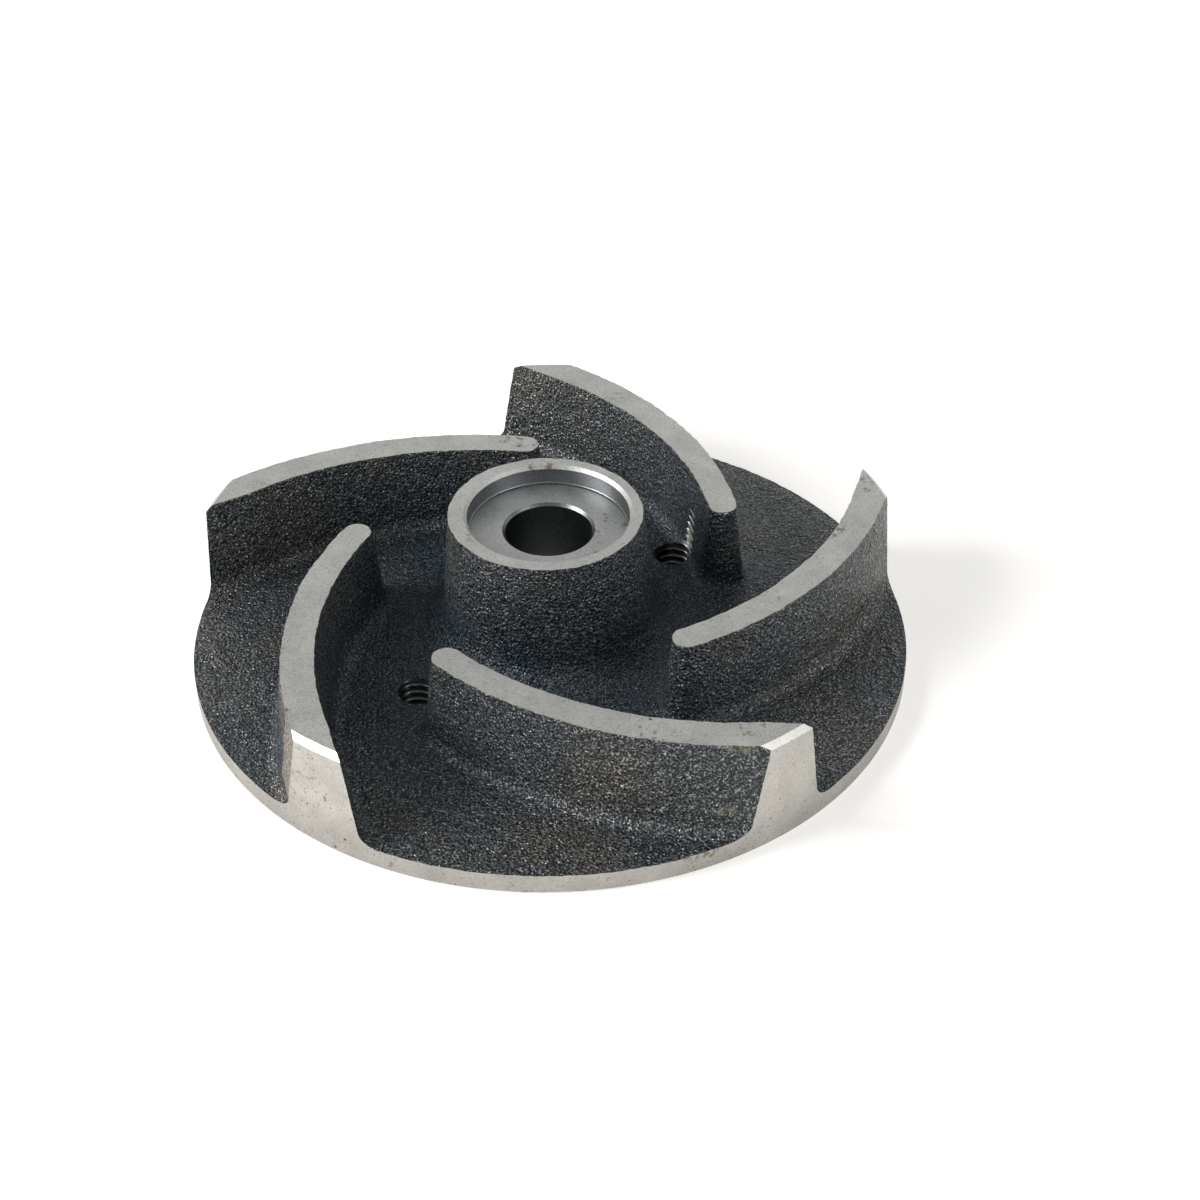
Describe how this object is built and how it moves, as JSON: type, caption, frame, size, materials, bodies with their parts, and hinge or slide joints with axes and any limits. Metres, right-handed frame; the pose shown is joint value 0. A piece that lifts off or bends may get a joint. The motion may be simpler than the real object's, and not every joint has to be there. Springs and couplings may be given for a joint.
{
  "type": "pump impeller",
  "caption": "Semi-open cast iron pump impeller: backswept vanes on a back plate, a central hub with a plain shaft bore under a shallow counterbore, and tapped jack-screw holes.",
  "frame": {"origin": "centre of the flat back face, on the shaft axis", "axes": "+Z runs along the shaft axis from the back face to the faced top of the hub; the tapped holes lie at 40 and 220 degrees from +X"},
  "size_m": [0.106, 0.106, 0.0247],
  "materials": {
    "casting": "dark sand-cast skin, turned faces bright and matt"
  },
  "bodies": {
    "root": {"impeller": "casting"}
  },
  "joints": []
}
